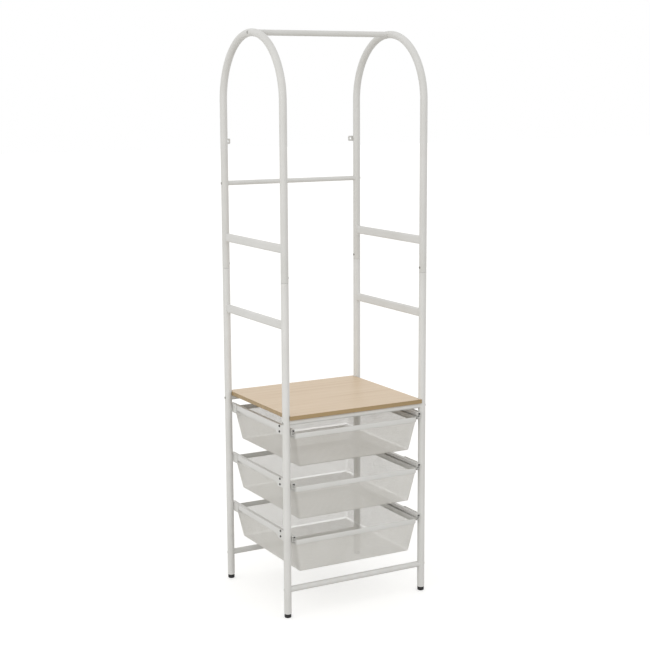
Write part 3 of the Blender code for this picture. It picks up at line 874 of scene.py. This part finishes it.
# %% [markdown]
# ## The studio
# The rack stands on a plain pale floor that runs out of sight. The world gives most of the light, as a white
# room does, and two large soft lamps add a direction: one on the left and one in front. A white floor would
# throw too much light up under the rack. So the floor is a pale grey that is lifted to white only where it
# is seen, and the world behind it is seen as white too, so that the floor has no horizon.

# %% Floor
WHITE = linear("#FFFFFF")
FLOOR_HALF = 30  # half the length of a side
FLOOR_GAP = 0.2 * MM  # keeps the floor off the undersides of the feet
FLOOR_LIFT = 0.56  # brings the floor up to white in the picture


def seen_rays(tree):
    """1 for what the camera sees, straight, in a reflection or through glass, and 0 for other light."""
    path = add(tree, "LightPath").outputs
    seen = add(tree, "Math", {0: path["Is Camera Ray"], 1: path["Is Glossy Ray"]}, operation="MAXIMUM")
    seen = add(tree, "Math", {0: seen.outputs["Value"], 1: path["Is Transmission Ray"]}, operation="MAXIMUM")
    return seen.outputs["Value"]


floor_paint, tree, output = new_material("studio_white")
matt = add(tree, "BsdfPrincipled", {"Base Color": linear("#C5C4C1"), "Roughness": 0.9})
lift = add(tree, "Math", {0: seen_rays(tree), 1: FLOOR_LIFT}, operation="MULTIPLY")
glow = add(tree, "Emission", {"Color": WHITE, "Strength": lift.outputs["Value"]})
both = add(tree, "AddShader", {0: matt.outputs["BSDF"], 1: glow.outputs["Emission"]})
tree.links.new(both.outputs["Shader"], output.inputs["Surface"])
bm = bmesh.new()
bmesh.ops.create_grid(bm, x_segments=1, y_segments=1, size=FLOOR_HALF)
floor = make_object("studio_floor", bm, floor_paint)
floor.location.z = cad_box[0].z - FLOOR_GAP
print("floor at", round(floor.location.z, 4))

# %% Light
ROOM_LIGHT = 0.9
SOFTBOX_SIZE = 2.4
world = bpy.data.worlds.new("studio")
bpy.context.scene.world = world
world.use_nodes = True
tree = world.node_tree
tree.nodes.clear()
room = add(tree, "Background", {"Color": WHITE, "Strength": ROOM_LIGHT})
backdrop = add(tree, "Background", {"Color": WHITE, "Strength": 1.0})
mix = add(
    tree,
    "MixShader",
    {0: seen_rays(tree), 1: room.outputs["Background"], 2: backdrop.outputs["Background"]},
)
add(tree, "OutputWorld", {"Surface": mix.outputs["Shader"]})


def softbox(name, place, target, power):
    """A square soft lamp that points at a target."""
    light = bpy.data.lights.new(name, "AREA")
    light.shape = "SQUARE"
    light.size = SOFTBOX_SIZE
    light.energy = power
    lamp = bpy.data.objects.new(name, light)
    lamp.location = place
    lamp.rotation_euler = (Vector(target) - Vector(place)).to_track_quat("-Z", "Y").to_euler()
    bpy.context.scene.collection.objects.link(lamp)


softbox("left_softbox", place=(-3.4, -1.0, 1.4), target=(0, 0, 0.7), power=19)
softbox("front_softbox", place=(-1.6, -3.8, 1.0), target=(0, 0, 0.6), power=18)
print("room light", ROOM_LIGHT)

# %% [markdown]
# ## The camera
# The photograph was taken from the front left, a little above the middle of the rack, with a long lens. A
# camera can be set by eye, but the proportions then stay in doubt. These numbers come from matching the
# corners of the frame to their places in the picture.

# %% Camera
CAMERA_PLACE = (-2.0011, -3.6381, 1.5274)
YAW = math.radians(28.881)  # to the right of straight ahead
PITCH = math.radians(-9.646)
ROLL = math.radians(-0.293)
LENS_MM = 76.79
SENSOR_MM = 36
camera_data = bpy.data.cameras.new("camera")
camera_data.sensor_width = SENSOR_MM
camera_data.lens = LENS_MM
camera = bpy.data.objects.new("camera", camera_data)
bpy.context.scene.collection.objects.link(camera)
level_aim = Matrix.Rotation(-YAW, 4, "Z") @ Matrix.Rotation(math.pi / 2 + PITCH, 4, "X")
aim = level_aim @ Matrix.Rotation(ROLL, 4, "Z")
camera.matrix_world = Matrix.Translation(CAMERA_PLACE) @ aim
bpy.context.scene.camera = camera
bpy.context.scene.view_settings.view_transform = "Standard"
print("camera at", [round(value, 3) for value in camera.matrix_world.translation])
